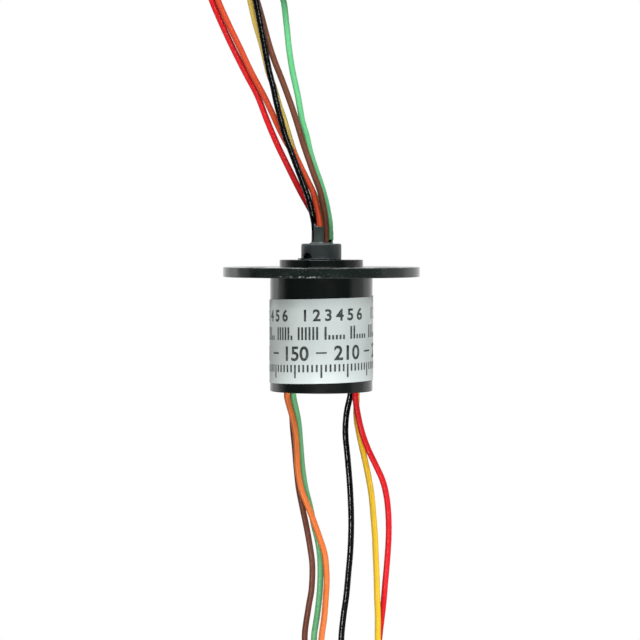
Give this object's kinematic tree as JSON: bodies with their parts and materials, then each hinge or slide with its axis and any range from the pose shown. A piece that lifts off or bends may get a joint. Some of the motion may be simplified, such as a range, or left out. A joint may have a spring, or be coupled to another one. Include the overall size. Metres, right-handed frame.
{
  "type": "slip ring",
  "caption": "Flanged capsule slip ring: a round black housing with a mounting flange, a turning hollow rotor and coloured flying leads at both ends.",
  "frame": {"origin": "on the rotor's axis, in the seat face on the underside of the flange", "axes": "+Z along the rotor's axis, from the body towards the rotor's nose; +X to the right and +Y away from the viewer, with the front of the label at -Y"},
  "size_m": [0.0266, 0.024, 0.1308],
  "materials": {
    "black_housing": "satin moulded plastic",
    "label_film": "silver-white film",
    "moulded_insulator": "moulded",
    "gold_plate": "gold plated",
    "bearing_steel": "ground",
    "cage_brass": "pressed",
    "slate_rotor": "satin moulded",
    "potting_resin": "cast resin",
    "shrink_sleeve": "shrink tube",
    "red_lead": "extruded insulation",
    "orange_lead": "extruded insulation",
    "yellow_lead": "extruded insulation",
    "black_lead": "extruded insulation",
    "brown_lead": "extruded insulation",
    "green_lead": "extruded insulation",
    "wound_leads": "wound leads",
    "black_tie": "nylon tie"
  },
  "bodies": {
    "stator": {"housing": "black_housing", "end_cap": "black_housing", "label": "label_film", "left_brush_block": "moulded_insulator", "right_brush_block": "moulded_insulator", "left_brushes": "gold_plate", "right_brushes": "gold_plate", "upper_outer_race": "bearing_steel", "upper_bearing_shields": "bearing_steel", "lower_outer_race": "bearing_steel", "lower_bearing_shields": "bearing_steel", "left_stator_potting": "potting_resin", "right_stator_potting": "potting_resin", "stator_lead_orange": "orange_lead", "stator_lead_green": "green_lead", "stator_lead_brown": "brown_lead", "stator_lead_black": "black_lead", "stator_lead_red": "red_lead", "stator_lead_yellow": "yellow_lead", "stator_lead_coil": "wound_leads", "stator_lead_tie": "black_tie"},
    "rotor": {"rotor_shaft": "slate_rotor", "contact_ring_1": "gold_plate", "contact_ring_2": "gold_plate", "contact_ring_3": "gold_plate", "contact_ring_4": "gold_plate", "contact_ring_5": "gold_plate", "contact_ring_6": "gold_plate", "ring_barrier_1": "moulded_insulator", "ring_barrier_2": "moulded_insulator", "ring_barrier_3": "moulded_insulator", "ring_barrier_4": "moulded_insulator", "ring_barrier_5": "moulded_insulator", "rotor_end_collar": "moulded_insulator", "upper_inner_race": "bearing_steel", "lower_inner_race": "bearing_steel", "retaining_clip": "slate_rotor", "rotor_potting": "potting_resin", "rotor_lead_sleeve": "shrink_sleeve", "rotor_lead_red": "red_lead", "rotor_lead_orange": "orange_lead", "rotor_lead_yellow": "yellow_lead", "rotor_lead_black": "black_lead", "rotor_lead_brown": "brown_lead", "rotor_lead_green": "green_lead", "rotor_lead_coil": "wound_leads", "rotor_lead_tie": "black_tie"},
    "upper_cage": {"upper_bearing_balls": "bearing_steel", "upper_bearing_cage": "cage_brass"},
    "lower_cage": {"lower_bearing_balls": "bearing_steel", "lower_bearing_cage": "cage_brass"}
  },
  "joints": [
    {"name": "rotor_spin", "type": "hinge", "parent": "stator", "child": "rotor", "pos_m": [0, 0, 0], "axis": [0, 0, 1], "continuous": true},
    {"name": "upper_cage_spin", "type": "hinge", "parent": "stator", "child": "upper_cage", "pos_m": [0, 0, 0], "axis": [0, 0, 1], "continuous": true},
    {"name": "lower_cage_spin", "type": "hinge", "parent": "stator", "child": "lower_cage", "pos_m": [0, 0, 0], "axis": [0, 0, 1], "continuous": true}
  ],
  "couplings": [
    {"joint": "upper_cage_spin", "follows": "rotor_spin", "ratio": 0.4231},
    {"joint": "lower_cage_spin", "follows": "rotor_spin", "ratio": 0.3696}
  ]
}
